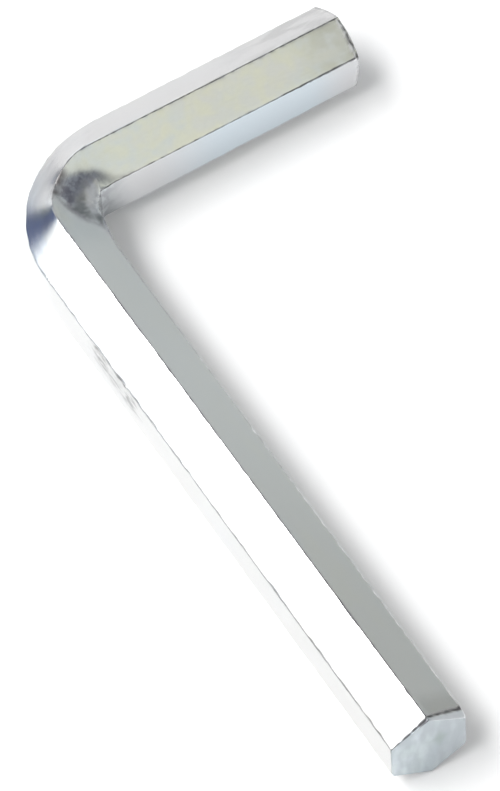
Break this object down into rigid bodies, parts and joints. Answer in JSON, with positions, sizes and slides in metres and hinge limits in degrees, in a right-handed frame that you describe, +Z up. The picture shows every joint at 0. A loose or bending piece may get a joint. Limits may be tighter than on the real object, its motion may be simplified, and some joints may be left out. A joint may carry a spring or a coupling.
{
  "type": "hex key",
  "caption": "L-shaped hex key bent from plain hexagonal bar, with a long and a short arm, for turning screws that have a hexagon socket.",
  "frame": {"origin": "on the surface that the key lies on, below the middle of its outline seen from above", "axes": "+X along the long arm towards its tip, +Y along the short arm towards its tip, +Z up from the surface"},
  "size_m": [0.0594, 0.0308, 0.0069],
  "materials": {
    "zinc_plate": "bright zinc plate, slightly mottled"
  },
  "bodies": {
    "root": {"hex_key": "zinc_plate"}
  },
  "joints": []
}
